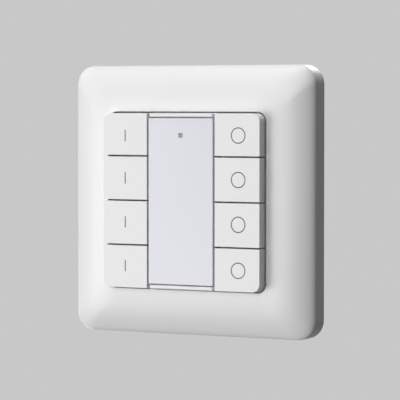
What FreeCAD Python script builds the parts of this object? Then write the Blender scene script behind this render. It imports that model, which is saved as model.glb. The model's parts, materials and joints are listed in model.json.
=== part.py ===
import FreeCAD, Part
import math
import os
import re
import Sketcher

# Eight-key lighting control panel: square cover frame, two columns of keys, label window between them.
# Millimetres. X runs to the right and Z up along the wall, and the panel looks towards -Y.
# The wall surface is Y = 0. Every height below is measured out from the wall, so a height h lies at Y = -h.

doc = FreeCAD.newDocument("LightingPanel")
sheet = doc.addObject("Spreadsheet::Sheet", "Sizes")

sizes = {
    # Cover frame
    "frame_width": 84.5,
    "frame_height": 11.5,
    "frame_side": 6.7,
    "frame_corner": 6.0,
    "frame_edge": 0.5,
    "frame_wall": 2.0,
    "dome_power": 3.3,
    "front_lip": 1.1,
    "opening_gap": 0.4,
    "collar_wall": 1.6,
    "ledge_width": 2.2,
    "ledge_thickness": 1.4,
    "rib_thickness": 1.2,
    "rib_near": 14,
    "rib_far": 25,
    "seat_gap": 0.3,
    # Keys
    "insert_width": 55,
    "insert_corner": 2.6,
    "key_front": 15,
    "key_face": 1.5,
    "key_wall": 1.3,
    "key_edge": 0.3,
    "row_pitch": 13.95,
    "row_gap": 0.4,
    "column_gap": 0.8,
    "press_travel": 0.8,
    "stop_gap": 0.1,
    "boss_width": 3.4,
    "boss_gap": 0.45,
    "boss_rib": 1.0,
    "boss_rib_gap": 1.7,
    "leg_gap": 0.4,
    "leg_thickness": 1.2,
    "leg_width": 4,
    "hook_reach": 0.6,
    "hook_depth": 1.0,
    "hook_gap": 0.05,
    "guide_gap": 0.3,
    # Label window
    "window_width": 22.48,
    "window_drop": 0.2,
    "window_thickness": 1.5,
    "window_skirt": 0.9,
    "window_skirt_gap": 1.3,
    "window_edge": 0.3,
    "window_fit": 0.1,
    "rail_height": 1.3,
    "rail_gap": 0.2,
    "card_thickness": 0.3,
    "dot_width": 1.4,
    "dot_inset": 2.4,
    "dot_gap": 0.1,
    "guide_collar": 0.5,
    "guide_collar_depth": 1,
    # Key carrier
    "carrier_gap": 0.6,
    "carrier_thickness": 1.4,
    "bed_wall": 1.4,
    "bed_end_wall": 4.5,
    "bed_rib_level": 8,
    "post_width": 4,
    "post_across": 11.5,
    "bore_gap": 0.2,
    "arm_across": 7,
    "arm_width": 5,
    "arm_inset": 3.5,
    "arm_room": 0.7,
    "arm_thickness": 1.4,
    "arm_hook": 0.8,
    "arm_hook_depth": 1.5,
    "arm_gap": 0.1,
    # Key board and switches
    "board_gap": 0.5,
    "board_corner": 1.5,
    "board_thickness": 1.6,
    "board_notch": 0.8,
    "switch_width": 6,
    "switch_height": 2.5,
    "lead_width": 0.7,
    "lead_length": 1,
    "lead_root": 0.3,
    "lead_thickness": 0.3,
    "lead_across": 1.8,
    "plunger_width": 3,
    "plunger_reach": 1,
    "plunger_depth": 1.3,
    "plunger_gap": 0.1,
    "press_gap": 0.2,
    "chip_width": 7,
    "chip_height": 1.2,
    "chip_corner": 0.8,
    "chip_level": -6,
    "led_width": 2,
    "led_height": 1,
    "led_gap": 0.2,
    # Screws
    "screw_radius": 1,
    "thread_gap": 0.05,
    "clearance_radius": 1.25,
    "head_radius": 2,
    "head_height": 1.3,
    "head_gap": 0.5,
    "board_screw_reach": 4,
    "lid_screw_reach": 6,
    # Mounting plate
    "plate_width": 71,
    "plate_corner": 5,
    "plate_thickness": 1.2,
    "slot_spacing": 60,
    "slot_length": 7,
    "slot_width": 3.8,
    "turned_lip_length": 16,
    "turned_lip_height": 2.5,
    # Wall housing
    "lid_overlap": 1,
    "lid_thickness": 1.4,
    "lid_corner": 9,
    "lid_seat_depth": 1,
    "sleeve_width": 4.6,
    "lid_screw_margin": 3.5,
    "housing_gap": 0.5,
    "housing_corner": 8,
    "housing_depth": 21,
    "housing_wall": 1.6,
    "housing_edge": 1,
    "lug_reach": 2,
    "lug_width": 6,
    "lug_level": 8,
    "lug_depth": 1.5,
    "lug_gap": 0.05,
    "tower_width": 5.2,
    "coupler_level": 2,
    "coupler_gap": 1.2,
    "coupler_corner": 3,
    "header_level": 5,
    "header_width": 12,
    "header_height": 2.6,
    "header_depth": 1.6,
    "contact_width": 0.6,
    "contact_pitch": 2,
    "contact_gap": 0.2,
    "contact_cover": 0.6,
    "socket_wall": 1,
    "capacitor_radius": 4,
    "capacitor_length": 11,
    "capacitor_margin": 4,
    "capacitor_place": 7,
    "choke_width": 10,
    "choke_corner": 1.6,
    "choke_height": 8,
    "choke_margin": 3.5,
    "choke_gap": 0.4,
    "driver_margin": 2.5,
    "driver_place": -8,
    # Bus terminals
    "terminal_width": 5.6,
    "terminal_height": 10.4,
    "terminal_depth": 11.5,
    "terminal_edge": 0.4,
    "terminal_gap": 0.2,
    "terminal_level": -9,
    "terminal_proud": 1.7,
    "bay_wall": 1.4,
    "pin_width": 1,
    "pin_reach": 5,
    "wire_hole_width": 1.3,
    "wire_hole_depth": 5.5,
    "wire_hole_across": 1.3,
    "wire_hole_pitch": 6.4,
    # How far a cut runs past the face that it opens
    "cut_past": 1,
}

for row, (alias, value) in enumerate(sizes.items(), start=1):
    sheet.set(f"A{row}", alias)
    sheet.set(f"B{row}", str(value))
    sheet.setAlias(f"B{row}", alias)
doc.recompute()

quarter = math.pi / 2
near = 1e-5  # lengths this close are taken as equal
least_cut = 1e-4  # a pocket that removes less than this volume has missed

# Lengths worked out from the sheet, each from the ones above it.
derived = {
    "frame_half": "(frame_width / 2)",
    "insert_half": "(insert_width / 2)",
    "opening_half": "(insert_half + opening_gap)",
    "opening_corner": "(insert_corner + opening_gap)",
    "ledge_half": "(opening_half - ledge_width)",
    "arm_inner": "(insert_half - arm_inset)",
    "arm_outer": "(arm_inner + arm_thickness)",
    "lid_half": "(arm_inner - arm_room)",
    "plate_opening_half": "(lid_half - lid_overlap)",
    "board_rear": "(plate_thickness + lid_thickness)",
    "board_front": "(board_rear + board_thickness)",
    "board_half": "(ledge_half - board_gap)",
    "switch_front": "(board_front + switch_height)",
    "boss_end": "(switch_front + plunger_reach)",
    "carrier_rear": "(switch_front + carrier_gap)",
    "carrier_front": "(carrier_rear + carrier_thickness)",
    "ledge_rear": "(carrier_rear - ledge_thickness)",
    "skirt_end": "(carrier_front + press_travel + stop_gap)",
    "leg_offset": "(switch_width / 2 + leg_gap + hook_reach + leg_thickness / 2)",
    "window_half": "(window_width / 2)",
    "window_front": "(key_front - window_drop)",
    "window_skirt_end": "(carrier_front + window_skirt_gap)",
    "window_end": "(insert_half - rail_height - rail_gap)",
    "key_inner": "(window_half + column_gap)",
    "key_middle": "((insert_half + key_inner) / 2)",
    "card_front": "(window_front - window_thickness)",
    "bed_front": "(card_front - card_thickness)",
    "bed_half": "(window_half - window_skirt - window_fit)",
    "bed_hollow_end": "(insert_half - bed_end_wall)",
    "dot_level": "(bed_hollow_end - dot_inset)",
    "lid_seat": "(board_rear - lid_seat_depth)",
    "housing_half": "(plate_opening_half - housing_gap)",
    "housing_floor": "(housing_depth - housing_wall)",
    "coupler_rear": "(coupler_level + board_thickness)",
    "coupler_half": "(housing_half - housing_wall - coupler_gap)",
    "lid_screw_place": "(coupler_half - lid_screw_margin)",
    "bay_half": "(terminal_width + terminal_gap + terminal_gap / 2)",
    "bay_top": "(terminal_level + terminal_height / 2 + terminal_gap)",
    "bay_bottom": "(terminal_level - terminal_height / 2 - terminal_gap)",
    "bay_floor": "(housing_depth - terminal_depth + terminal_proud - terminal_gap)",
    "pin_across": "(terminal_width / 2 + terminal_gap / 2)",
}


def formula(text):
    # Spell out the derived lengths, last ones first, then point every name at the sheet.
    for name, meaning in reversed(derived.items()):
        text = re.sub(rf"\b{name}\b", meaning, text)
    return re.sub(r"\b[a-z]+(?:_[a-z]+)+\b", lambda found: "Sizes." + found.group(0), text)


def amount(text):
    return float(sheet.evalExpression(formula(text)))


def body_named(name, x="0", z="0"):
    body = doc.addObject("PartDesign::Body", name)
    body.Label = name
    if x != "0":
        body.setExpression("Placement.Base.x", formula(x))
    if z != "0":
        body.setExpression("Placement.Base.z", formula(z))
    return body


def origin_plane(body, role):
    return [feature for feature in body.Origin.OriginFeatures if feature.Role == role][0]


def sketch_on(body, name, role, offset):
    # A sketch parallel to one of the body's own origin planes.
    sketch = body.newObject("Sketcher::SketchObject", name)
    sketch.AttachmentSupport = [(origin_plane(body, role), "")]
    sketch.MapMode = "FlatFace"
    sketch.setExpression("AttachmentOffset.Base.z", formula(offset))
    return sketch


def bind(sketch, kind, *where_and_text):
    # A dimension whose value follows the sheet.
    *where, text = where_and_text
    index = sketch.addConstraint(Sketcher.Constraint(kind, *where, amount(text)))
    sketch.setExpression(f"Constraints[{index}]", formula(text))


def polygon(sketch, points):
    # Straight outline through corner points, each given as two formulas.
    places = [FreeCAD.Vector(amount(x), amount(y), 0) for x, y in points]
    first = sketch.GeometryCount
    count = len(places)
    for i in range(count):
        sketch.addGeometry(Part.LineSegment(places[i], places[(i + 1) % count]), False)
    for i in range(count):
        following = first + (i + 1) % count
        sketch.addConstraint(Sketcher.Constraint("Coincident", first + i, 2, following, 1))
    for i, (x, y) in enumerate(points):
        bind(sketch, "DistanceX", first + i, 1, x)
        bind(sketch, "DistanceY", first + i, 1, y)


def rectangle(sketch, left, right, bottom, top):
    polygon(sketch, [(left, bottom), (right, bottom), (right, top), (left, top)])


def arc_about(x, y, radius, start, end):
    circle = Part.Circle(FreeCAD.Vector(x, y, 0), FreeCAD.Vector(0, 0, 1), radius)
    return Part.ArcOfCircle(circle, start, end)


def rounded(sketch, left, right, bottom, top, corner):
    # Rectangle with arcs at its corners, drawn from the lower left round to the upper left.
    radius = amount(corner)
    low_x, high_x = amount(left) + radius, amount(right) - radius
    low_y, high_y = amount(bottom) + radius, amount(top) - radius
    centres = [(low_x, low_y), (high_x, low_y), (high_x, high_y), (low_x, high_y)]
    arcs = [arc_about(x, y, radius, (i + 2) * quarter, (i + 3) * quarter) for i, (x, y) in enumerate(centres)]
    first = sketch.GeometryCount
    for i in range(4):
        sketch.addGeometry(arcs[i], False)
        sketch.addGeometry(Part.LineSegment(arcs[i].EndPoint, arcs[(i + 1) % 4].StartPoint), False)
    for i in range(4):
        arc = first + 2 * i
        line = arc + 1
        following = first + 2 * ((i + 1) % 4)
        sketch.addConstraint(Sketcher.Constraint("Tangent", arc, 2, line, 1))
        sketch.addConstraint(Sketcher.Constraint("Tangent", line, 2, following, 1))
        sketch.addConstraint(Sketcher.Constraint("Horizontal" if i % 2 == 0 else "Vertical", line))
        bind(sketch, "Radius", arc, corner)
    bind(sketch, "DistanceY", first + 1, 1, bottom)
    bind(sketch, "DistanceX", first + 3, 1, right)
    bind(sketch, "DistanceY", first + 5, 1, top)
    bind(sketch, "DistanceX", first + 7, 1, left)


def centred(sketch, index, x, z):
    # Ties the centre of a circle or arc to a place, or to an axis where the coordinate is nought.
    for kind, text, axis in (("DistanceX", x, -2), ("DistanceY", z, -1)):
        if abs(amount(text)) > near:
            bind(sketch, kind, index, 3, text)
        else:
            sketch.addConstraint(Sketcher.Constraint("PointOnObject", index, 3, axis))


def disc(sketch, x, z, radius):
    centre = FreeCAD.Vector(amount(x), amount(z), 0)
    index = sketch.addGeometry(Part.Circle(centre, FreeCAD.Vector(0, 0, 1), amount(radius)), False)
    bind(sketch, "Radius", index, radius)
    centred(sketch, index, x, z)


def slot(sketch, x, z, length, width, upright):
    # Round-ended slot, along X or, upright, along Z: two half circles joined by two lines.
    reach = f"(({length}) - ({width})) / 2"
    turn = quarter if upright else 0
    ends = []
    for way in ("-1", "1"):
        shift = f"{way} * {reach}"
        ends.append((x, f"({z}) + {shift}") if upright else (f"({x}) + {shift}", z))
    radius = amount(f"({width}) / 2")
    arcs = [arc_about(amount(ends[i][0]), amount(ends[i][1]), radius,
                      turn + (1 + 2 * i) * quarter, turn + (3 + 2 * i) * quarter) for i in range(2)]
    first = sketch.GeometryCount
    for i in range(2):
        sketch.addGeometry(arcs[i], False)
        sketch.addGeometry(Part.LineSegment(arcs[i].EndPoint, arcs[1 - i].StartPoint), False)
    for i in range(4):
        sketch.addConstraint(Sketcher.Constraint("Tangent", first + i, 2, first + (i + 1) % 4, 1))
    for i in range(2):
        bind(sketch, "Radius", first + 2 * i, f"({width}) / 2")
        centred(sketch, first + 2 * i, *ends[i])


def cross(sketch, half, wall):
    # Plus-shaped outline with arms of one wall thickness.
    low, high, inner, outer = f"-({half})", half, f"-({wall}) / 2", f"({wall}) / 2"
    polygon(sketch, [
        (low, inner), (inner, inner), (inner, low), (outer, low), (outer, inner), (high, inner),
        (high, outer), (outer, outer), (outer, high), (inner, high), (inner, outer), (low, outer),
    ])


def grow(body, name, low, high, draw):
    # Material between two heights above the wall.
    sketch = sketch_on(body, name + "_sketch", "XZ_Plane", low)
    draw(sketch)
    pad = body.newObject("PartDesign::Pad", name)
    pad.Profile = sketch
    pad.setExpression("Length", formula(f"({high}) - ({low})"))
    doc.recompute()
    return pad


def cut(body, name, low, high, draw):
    # A pocket between two heights above the wall.
    sketch = sketch_on(body, name + "_sketch", "XZ_Plane", low)
    draw(sketch)
    pocket = body.newObject("PartDesign::Pocket", name)
    pocket.Profile = sketch
    pocket.Reversed = True
    pocket.setExpression("Length", formula(f"({high}) - ({low})"))
    doc.recompute()
    return pocket


def grow_across(body, name, role, start, width, points):
    # Material with its outline on a plane square to the wall, carried across by a width.
    sketch = sketch_on(body, name + "_sketch", role, start)
    polygon(sketch, points)
    pad = body.newObject("PartDesign::Pad", name)
    pad.Profile = sketch
    pad.setExpression("Length", formula(width))
    doc.recompute()
    return pad


def lies_at(height):
    level = -amount(height)
    return lambda edge: abs(edge.BoundBox.YMin - level) < near and abs(edge.BoundBox.YMax - level) < near


def stands_out(length):
    # Edges square to the wall, longer than half of a length.
    least = amount(length) / 2
    return lambda edge: (edge.BoundBox.YLength > least
                         and max(edge.BoundBox.XLength, edge.BoundBox.ZLength) < near)


def dress(body, kind, name, size, test):
    # Fillet or Chamfer on the edges of the body's tip that pass the test.
    base = body.Tip
    chosen = [f"Edge{i + 1}" for i, edge in enumerate(base.Shape.Edges) if test(edge)]
    feature = body.newObject("PartDesign::" + kind, name)
    feature.Base = (base, chosen)
    feature.setExpression("Radius" if kind == "Fillet" else "Size", formula(size))
    doc.recompute()
    return feature


def box(name, left, right, bottom, top, low, high):
    solid = doc.addObject("Part::Box", name)
    solid.setExpression("Length", formula(f"({right}) - ({left})"))
    solid.setExpression("Width", formula(f"({high}) - ({low})"))
    solid.setExpression("Height", formula(f"({top}) - ({bottom})"))
    solid.setExpression("Placement.Base.x", formula(left))
    solid.setExpression("Placement.Base.y", formula(f"-({high})"))
    solid.setExpression("Placement.Base.z", formula(bottom))
    solid.Label = name
    return solid


def rod(name, x, z, radius, low, high):
    solid = doc.addObject("Part::Cylinder", name)
    solid.Placement = FreeCAD.Placement(FreeCAD.Vector(), FreeCAD.Rotation(FreeCAD.Vector(1, 0, 0), 90))
    solid.setExpression("Radius", formula(radius))
    solid.setExpression("Height", formula(f"({high}) - ({low})"))
    solid.setExpression("Placement.Base.x", formula(x))
    solid.setExpression("Placement.Base.y", formula(f"-({low})"))
    solid.setExpression("Placement.Base.z", formula(z))
    return solid


def joined(name, pieces):
    solid = doc.addObject("Part::MultiFuse", name)
    solid.Shapes = pieces
    solid.Label = name
    return solid


def grouped(name, pieces):
    group = doc.addObject("Part::Compound", name)
    group.Links = pieces
    group.Label = name
    return group


def without(name, base, tool):
    solid = doc.addObject("Part::Cut", name)
    solid.Base = base
    solid.Tool = tool
    solid.Label = name
    return solid


def square(half, corner):
    return lambda sketch: rounded(sketch, f"-({half})", half, f"-({half})", half, corner)


def discs_at(places, radius):
    def draw(sketch):
        for _, x, z in places:
            disc(sketch, x, z, radius)
    return draw


def squares_at(places, half):
    def draw(sketch):
        for _, x, z in places:
            rectangle(sketch, f"{x} - ({half})", f"{x} + ({half})", f"{z} - ({half})", f"{z} + ({half})")
    return draw


signs = (("right", "1"), ("left", "-1"))
both_ways = ("1", "-1")
rows = (
    ("1", "row_pitch + row_gap / 2", "insert_half"),
    ("2", "row_gap / 2", "row_pitch - row_gap / 2"),
    ("3", "-(row_pitch - row_gap / 2)", "-row_gap / 2"),
    ("4", "-insert_half", "-(row_pitch + row_gap / 2)"),
)
columns = (("on", "-1"), ("off", "1"))
key_places = [(f"{column}_{number}", f"{across} * key_middle", f"(({bottom}) + ({top})) / 2")
              for column, across in columns for number, bottom, top in rows]
board_screw_places = [("left_upper", "-post_across", "row_pitch"),
                      ("right_lower", "post_across", "-row_pitch")]
plain_post_places = [("right_upper", "post_across", "row_pitch"),
                     ("left_lower", "-post_across", "-row_pitch")]
lid_screw_places = [("right_upper", "lid_screw_place", "lid_screw_place"),
                    ("left_lower", "-lid_screw_place", "-lid_screw_place")]
at_middle = [("middle", "0", "0")]
pin_places = [("right", "pin_across", "terminal_level"), ("left", "-pin_across", "terminal_level")]


# Cover frame: a moulded pillow with straight sides, open in the middle, hollow and ribbed behind.
# A share runs from nought at the front lip to one at the sides, in equal falls of the dome's slope.
crease_share = "0.95"
dome_bands = 5
outside_shares = [crease_share] + [f"{band} / {dome_bands}" for band in reversed(range(dome_bands))]
hollow_shares = [crease_share, "1 / 2", "0"]


def dome_half(share, inset):
    reach = "(frame_half - opening_half - front_lip)"
    return f"opening_half + front_lip + {reach} * ({share}) ^ (2 / dome_power) - {inset}"


def dome_level(share, inset):
    return f"frame_height - (frame_height - frame_side) * ({share}) ^ 2 - {inset}"


def dome_corner(share, inset):
    reach = "(frame_corner - opening_corner - front_lip)"
    return f"opening_corner + front_lip + {reach} * ({share}) ^ (2 / dome_power) - {inset}"


def pillow(body, name, inset, shares):
    # Straight block up to the crease, then a loft over the dome's contours.
    side_top = f"frame_side - frame_edge - {inset}"
    side = square(f"frame_half - {inset}", f"frame_corner - {inset}")
    grow(body, name + "_sides", "0", side_top, side)
    crease = sketch_on(body, name + "_crease", "XZ_Plane", side_top)
    side(crease)
    contours = []
    for i, share in enumerate(shares):
        contour = sketch_on(body, f"{name}_contour_{i}", "XZ_Plane", dome_level(share, inset))
        square(dome_half(share, inset), dome_corner(share, inset))(contour)
        contours.append(contour)
    loft = body.newObject("PartDesign::AdditiveLoft", name + "_dome")
    loft.Profile = crease
    loft.Sections = contours
    loft.Ruled = True
    doc.recompute()


frame_outside = body_named("frame_outside")
pillow(frame_outside, "frame", "0", outside_shares)
cut(frame_outside, "insert_opening", "carrier_rear", "frame_height + cut_past",
    square("opening_half", "opening_corner"))
cut(frame_outside, "ledge_opening", "-cut_past", "carrier_rear", square("ledge_half", "insert_corner"))

frame_hollow = body_named("frame_hollow")
pillow(frame_hollow, "hollow", "frame_wall", hollow_shares)
cut(frame_hollow, "collar_core", "ledge_rear", "frame_height",
    square("opening_half + collar_wall", "opening_corner + collar_wall"))


def frame_ribs(sketch):
    reach = ("opening_half + collar_wall / 2", "frame_half")
    for place in ("rib_near", "rib_far"):
        for along in both_ways:
            sides = (f"{along} * {place} - rib_thickness / 2", f"{along} * {place} + rib_thickness / 2")
            rectangle(sketch, *reach, *sides)
            rectangle(sketch, f"-({reach[1]})", f"-({reach[0]})", *sides)
            rectangle(sketch, *sides, *reach)
            rectangle(sketch, *sides, f"-({reach[1]})", f"-({reach[0]})")


cut(frame_hollow, "rib_slots", "plate_thickness + seat_gap", "frame_height", frame_ribs)
cover_frame = without("cover_frame", frame_outside, frame_hollow)


# Mounting plate: pressed steel, screwed to the wall box through the slots.
mounting_plate = body_named("mounting_plate")
grow(mounting_plate, "sheet_metal", "0", "plate_thickness", square("plate_width / 2", "plate_corner"))
for side, sign in signs:
    edges = sorted([f"{sign} * plate_width / 2", f"{sign} * (plate_width / 2 - plate_thickness)"], key=amount)
    grow(mounting_plate, f"turned_lip_{side}", "0", "plate_thickness + turned_lip_height",
         lambda sketch: rectangle(sketch, *edges, "-turned_lip_length / 2", "turned_lip_length / 2"))
cut(mounting_plate, "housing_opening", "-cut_past", "plate_thickness + cut_past",
    square("plate_opening_half", "housing_corner + housing_gap"))


def arm_notches(sketch):
    for across in both_ways:
        middle = f"{across} * arm_across"
        sides = (f"{middle} - arm_width / 2 - guide_gap", f"{middle} + arm_width / 2 + guide_gap")
        inner, outer = "plate_opening_half - cut_past", "arm_outer + seat_gap"
        rectangle(sketch, *sides, inner, outer)
        rectangle(sketch, *sides, f"-({outer})", f"-({inner})")


cut(mounting_plate, "arm_notches", "-cut_past", "plate_thickness + cut_past", arm_notches)


def wall_slots(sketch):
    for way in both_ways:
        slot(sketch, f"{way} * slot_spacing / 2", "0", "slot_length", "slot_width", False)
        slot(sketch, "0", f"{way} * slot_spacing / 2", "slot_length", "slot_width", True)


cut(mounting_plate, "wall_slots", "-cut_past", "plate_thickness + cut_past", wall_slots)


# Key carrier: the moulding that the keys slide in, with the label bed down its middle.
key_carrier = body_named("key_carrier")
grow(key_carrier, "carrier_plate", "carrier_rear", "carrier_front", square("insert_half", "insert_corner"))
grow(key_carrier, "label_bed", "carrier_rear", "bed_front",
     lambda sketch: rectangle(sketch, "-bed_half", "bed_half", "-(insert_half - rail_height / 2)",
                              "insert_half - rail_height / 2"))


def rails(sketch):
    rectangle(sketch, "-window_half", "window_half", "insert_half - rail_height", "insert_half")
    rectangle(sketch, "-window_half", "window_half", "-insert_half", "-(insert_half - rail_height)")


grow(key_carrier, "end_rails", "carrier_rear", "window_front", rails)
dress(key_carrier, "Chamfer", "rail_edges", "window_edge", lies_at("window_front"))


def bed_hollows(sketch):
    sides = ("-(bed_half - bed_wall)", "bed_half - bed_wall")
    half_rib = "bed_wall / 2"
    rectangle(sketch, *sides, f"bed_rib_level + {half_rib}", "bed_hollow_end")
    rectangle(sketch, *sides, f"-(bed_rib_level - {half_rib})", f"bed_rib_level - {half_rib}")
    rectangle(sketch, *sides, "-bed_hollow_end", f"-(bed_rib_level + {half_rib})")


cut(key_carrier, "bed_hollows", "carrier_rear - cut_past", "bed_front - bed_wall", bed_hollows)


def leg_slots(sketch):
    inner = "(leg_offset - leg_thickness / 2 - hook_reach - guide_gap)"
    outer = "(leg_offset + leg_thickness / 2 + hook_reach)"
    for _, x, z in key_places:
        for way in both_ways:
            sides = sorted([f"{x} + {way} * {reach}" for reach in (inner, outer)], key=amount)
            rectangle(sketch, *sides, f"{z} - leg_width / 2 - guide_gap", f"{z} + leg_width / 2 + guide_gap")


cut(key_carrier, "boss_holes", "carrier_rear - cut_past", "carrier_front + cut_past",
    squares_at(key_places, "boss_width / 2 + boss_gap"))
cut(key_carrier, "leg_slots", "carrier_rear - cut_past", "carrier_front + cut_past", leg_slots)


def dot_hole(sketch):
    half = "(dot_width / 2 + dot_gap)"
    rectangle(sketch, f"-{half}", half, f"dot_level - {half}", f"dot_level + {half}")


cut(key_carrier, "light_guide_hole", "bed_front - bed_wall - cut_past", "bed_front + cut_past", dot_hole)


grow(key_carrier, "board_posts", "board_front", "carrier_rear",
     squares_at(board_screw_places + plain_post_places, "post_width / 2"))
cut(key_carrier, "post_bores", "board_front - cut_past", "board_rear + board_screw_reach + bore_gap",
    discs_at(board_screw_places, "screw_radius + thread_gap"))


def latch_arms(name, up):
    # One pair of barbed arms, drawn from the side and carried across the arm's width.
    tip, barb = "arm_gap + arm_hook_depth", "arm_outer + arm_hook"
    points = [
        ("-carrier_rear", "arm_inner"),
        (tip, "arm_inner"),
        (tip, "arm_outer"),
        ("arm_gap + arm_hook_depth / 3", barb),
        ("arm_gap", barb),
        ("arm_gap", "arm_outer"),
        ("-carrier_rear", "arm_outer"),
    ]
    for side, across in signs:
        grow_across(key_carrier, f"{name}_{side}", "YZ_Plane", f"{across} * arm_across - arm_width / 2",
                    "arm_width", [(y, f"{up} * ({z})") for y, z in points])


latch_arms("upper_arm", "1")
latch_arms("lower_arm", "-1")


# Keys: hollow caps, each with a cross-shaped boss and two hooked legs. The on column is the left one.
def key_cap(name, across, bottom, top, corner_up):
    half_width, half_height = "((insert_half - key_inner) / 2)", f"((({top}) - ({bottom})) / 2)"
    inset_x, inset_z = f"({half_width} - key_wall)", f"({half_height} - key_wall)"
    body = body_named(name, f"{across} * key_middle", f"(({bottom}) + ({top})) / 2")
    grow(body, name + "_cap", "skirt_end", "key_front",
         lambda sketch: rectangle(sketch, f"-{half_width}", half_width, f"-{half_height}", half_height))
    if corner_up:
        place = FreeCAD.Vector(amount(f"{across} * {half_width}"), 0, amount(f"{corner_up} * {half_height}"))

        def at_insert_corner(edge):
            centre = edge.BoundBox.Center
            return stands_out("key_wall")(edge) and math.hypot(centre.x - place.x, centre.z - place.z) < near

        dress(body, "Fillet", name + "_insert_corner", "insert_corner", at_insert_corner)
    dress(body, "Chamfer", name + "_edges", "key_edge", lies_at("key_front"))
    cut(body, name + "_hollow", "skirt_end - cut_past", "key_front - key_face",
        lambda sketch: rectangle(sketch, f"-{inset_x}", inset_x, f"-{inset_z}", inset_z))
    rib_start, root = "skirt_end + boss_rib_gap", "key_front - key_face / 2"
    rib_x, rib_z = f"({inset_x} + key_wall / 2)", f"({inset_z} + key_wall / 2)"
    grow(body, name + "_rib_across", rib_start, root,
         lambda sketch: rectangle(sketch, f"-{rib_x}", rib_x, "-boss_rib / 2", "boss_rib / 2"))
    grow(body, name + "_rib_upright", rib_start, root,
         lambda sketch: rectangle(sketch, "-boss_rib / 2", "boss_rib / 2", f"-{rib_z}", rib_z))
    grow(body, name + "_boss", "boss_end", root, lambda sketch: cross(sketch, "boss_width / 2", "boss_rib"))
    hook_front = "(carrier_rear - hook_gap)"
    tip = f"({hook_front} - hook_depth)"
    inner, outer = "leg_offset - leg_thickness / 2", "leg_offset + leg_thickness / 2"
    barb = f"{inner} - hook_reach"
    points = [
        (outer, f"-({root})"),
        (outer, f"-{tip}"),
        (inner, f"-{tip}"),
        (barb, f"-({tip} + hook_depth / 2)"),
        (barb, f"-{hook_front}"),
        (inner, f"-{hook_front}"),
        (inner, f"-({root})"),
    ]
    for side, way in signs:
        grow_across(body, f"{name}_leg_{side}", "XY_Plane", "-leg_width / 2", "leg_width",
                    [(f"{way} * ({x})", y) for x, y in points])
    return body


# Tactile switch under each key, and the square plunger that the key's boss pushes in.
def tact_switch(name, middle_x, middle_z):
    body = body_named("switch_" + name, middle_x, middle_z)
    half = "switch_width / 2"
    grow(body, name + "_case", "board_front", "switch_front", squares_at(at_middle, half))

    def leads(sketch):
        for across in both_ways:
            sides = (f"{across} * lead_across - lead_width / 2", f"{across} * lead_across + lead_width / 2")
            rectangle(sketch, *sides, f"{half} - lead_root", f"{half} + lead_length")
            rectangle(sketch, *sides, f"-({half} + lead_length)", f"-({half} - lead_root)")

    grow(body, name + "_leads", "board_front", "board_front + lead_thickness", leads)
    cut(body, name + "_bore", "switch_front - plunger_depth - press_travel - press_gap",
        "switch_front + cut_past", squares_at(at_middle, "plunger_width / 2 + plunger_gap"))
    plunger = box("plunger_" + name, f"{middle_x} - plunger_width / 2", f"{middle_x} + plunger_width / 2",
                  f"{middle_z} - plunger_width / 2", f"{middle_z} + plunger_width / 2",
                  "switch_front - plunger_depth", "boss_end")
    return body, plunger


keys = []
switches = []
corner_rows = {"1": "1", "4": "-1"}
for column, across in columns:
    for number, bottom, top in rows:
        keys.append(key_cap(f"button_{column}_{number}", across, bottom, top, corner_rows.get(number)))
for name, x, z in key_places:
    switches.extend(tact_switch(name, x, z))


# Label window, a shallow clear tray clipped over the bed, and the card that it covers.
label_window = body_named("label_window")
grow(label_window, "window_block", "window_skirt_end", "window_front",
     lambda sketch: rectangle(sketch, "-window_half", "window_half", "-window_end", "window_end"))
dress(label_window, "Chamfer", "window_edges", "window_edge", lies_at("window_front"))
cut(label_window, "window_channel", "window_skirt_end - cut_past", "card_front",
    lambda sketch: rectangle(sketch, "-(window_half - window_skirt)", "window_half - window_skirt",
                             "-insert_half", "insert_half"))
cut(label_window, "window_dot_hole", "card_front - cut_past", "window_front + cut_past", dot_hole)

label_card = body_named("label_card")
grow(label_card, "card_sheet", "bed_front", "card_front",
     lambda sketch: rectangle(sketch, "-(bed_half - window_fit)", "bed_half - window_fit",
                              "-(window_end - window_fit)", "window_end - window_fit"))
cut(label_card, "card_dot_hole", "bed_front - cut_past", "card_front + cut_past", dot_hole)

# Light guide of the status dot: a square post with a collar under the bed.
guide_post = box("guide_post", "-dot_width / 2", "dot_width / 2", "dot_level - dot_width / 2",
                 "dot_level + dot_width / 2", "board_front + led_height + led_gap", "window_front")
guide_collar = box("guide_collar_block", "-(dot_width / 2 + guide_collar)", "dot_width / 2 + guide_collar",
                   "dot_level - dot_width / 2 - guide_collar", "dot_level + dot_width / 2 + guide_collar",
                   "bed_front - bed_wall - guide_collar_depth", "bed_front - bed_wall")
indicator_lens = joined("indicator_lens", [guide_post, guide_collar])


# Key board, its parts and its screws.
key_board = body_named("key_board")
grow(key_board, "board_sheet", "board_rear", "board_front", squares_at(at_middle, "board_half"))
dress(key_board, "Chamfer", "board_corners", "board_corner", stands_out("board_thickness"))


def board_notches(sketch):
    for across in both_ways:
        sides = (f"{across} * arm_across - arm_width / 2 - guide_gap",
                 f"{across} * arm_across + arm_width / 2 + guide_gap")
        rectangle(sketch, *sides, "arm_inner - board_notch", "board_half + cut_past")
        rectangle(sketch, *sides, "-(board_half + cut_past)", "-(arm_inner - board_notch)")


cut(key_board, "arm_clearance", "board_rear - cut_past", "board_front + cut_past", board_notches)
cut(key_board, "board_screw_holes", "board_rear - cut_past", "board_front + cut_past",
    discs_at(board_screw_places, "clearance_radius"))


def chip(name, x, z, low, high):
    # Square package with one corner cut to mark its first lead.
    body = body_named(name, x, z)
    grow(body, name + "_case", low, high, squares_at(at_middle, "chip_width / 2"))

    def first_corner(edge):
        return stands_out("chip_height")(edge) and edge.BoundBox.Center.x < 0 < edge.BoundBox.Center.z

    dress(body, "Chamfer", name + "_first_corner", "chip_corner", first_corner)
    return body


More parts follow.
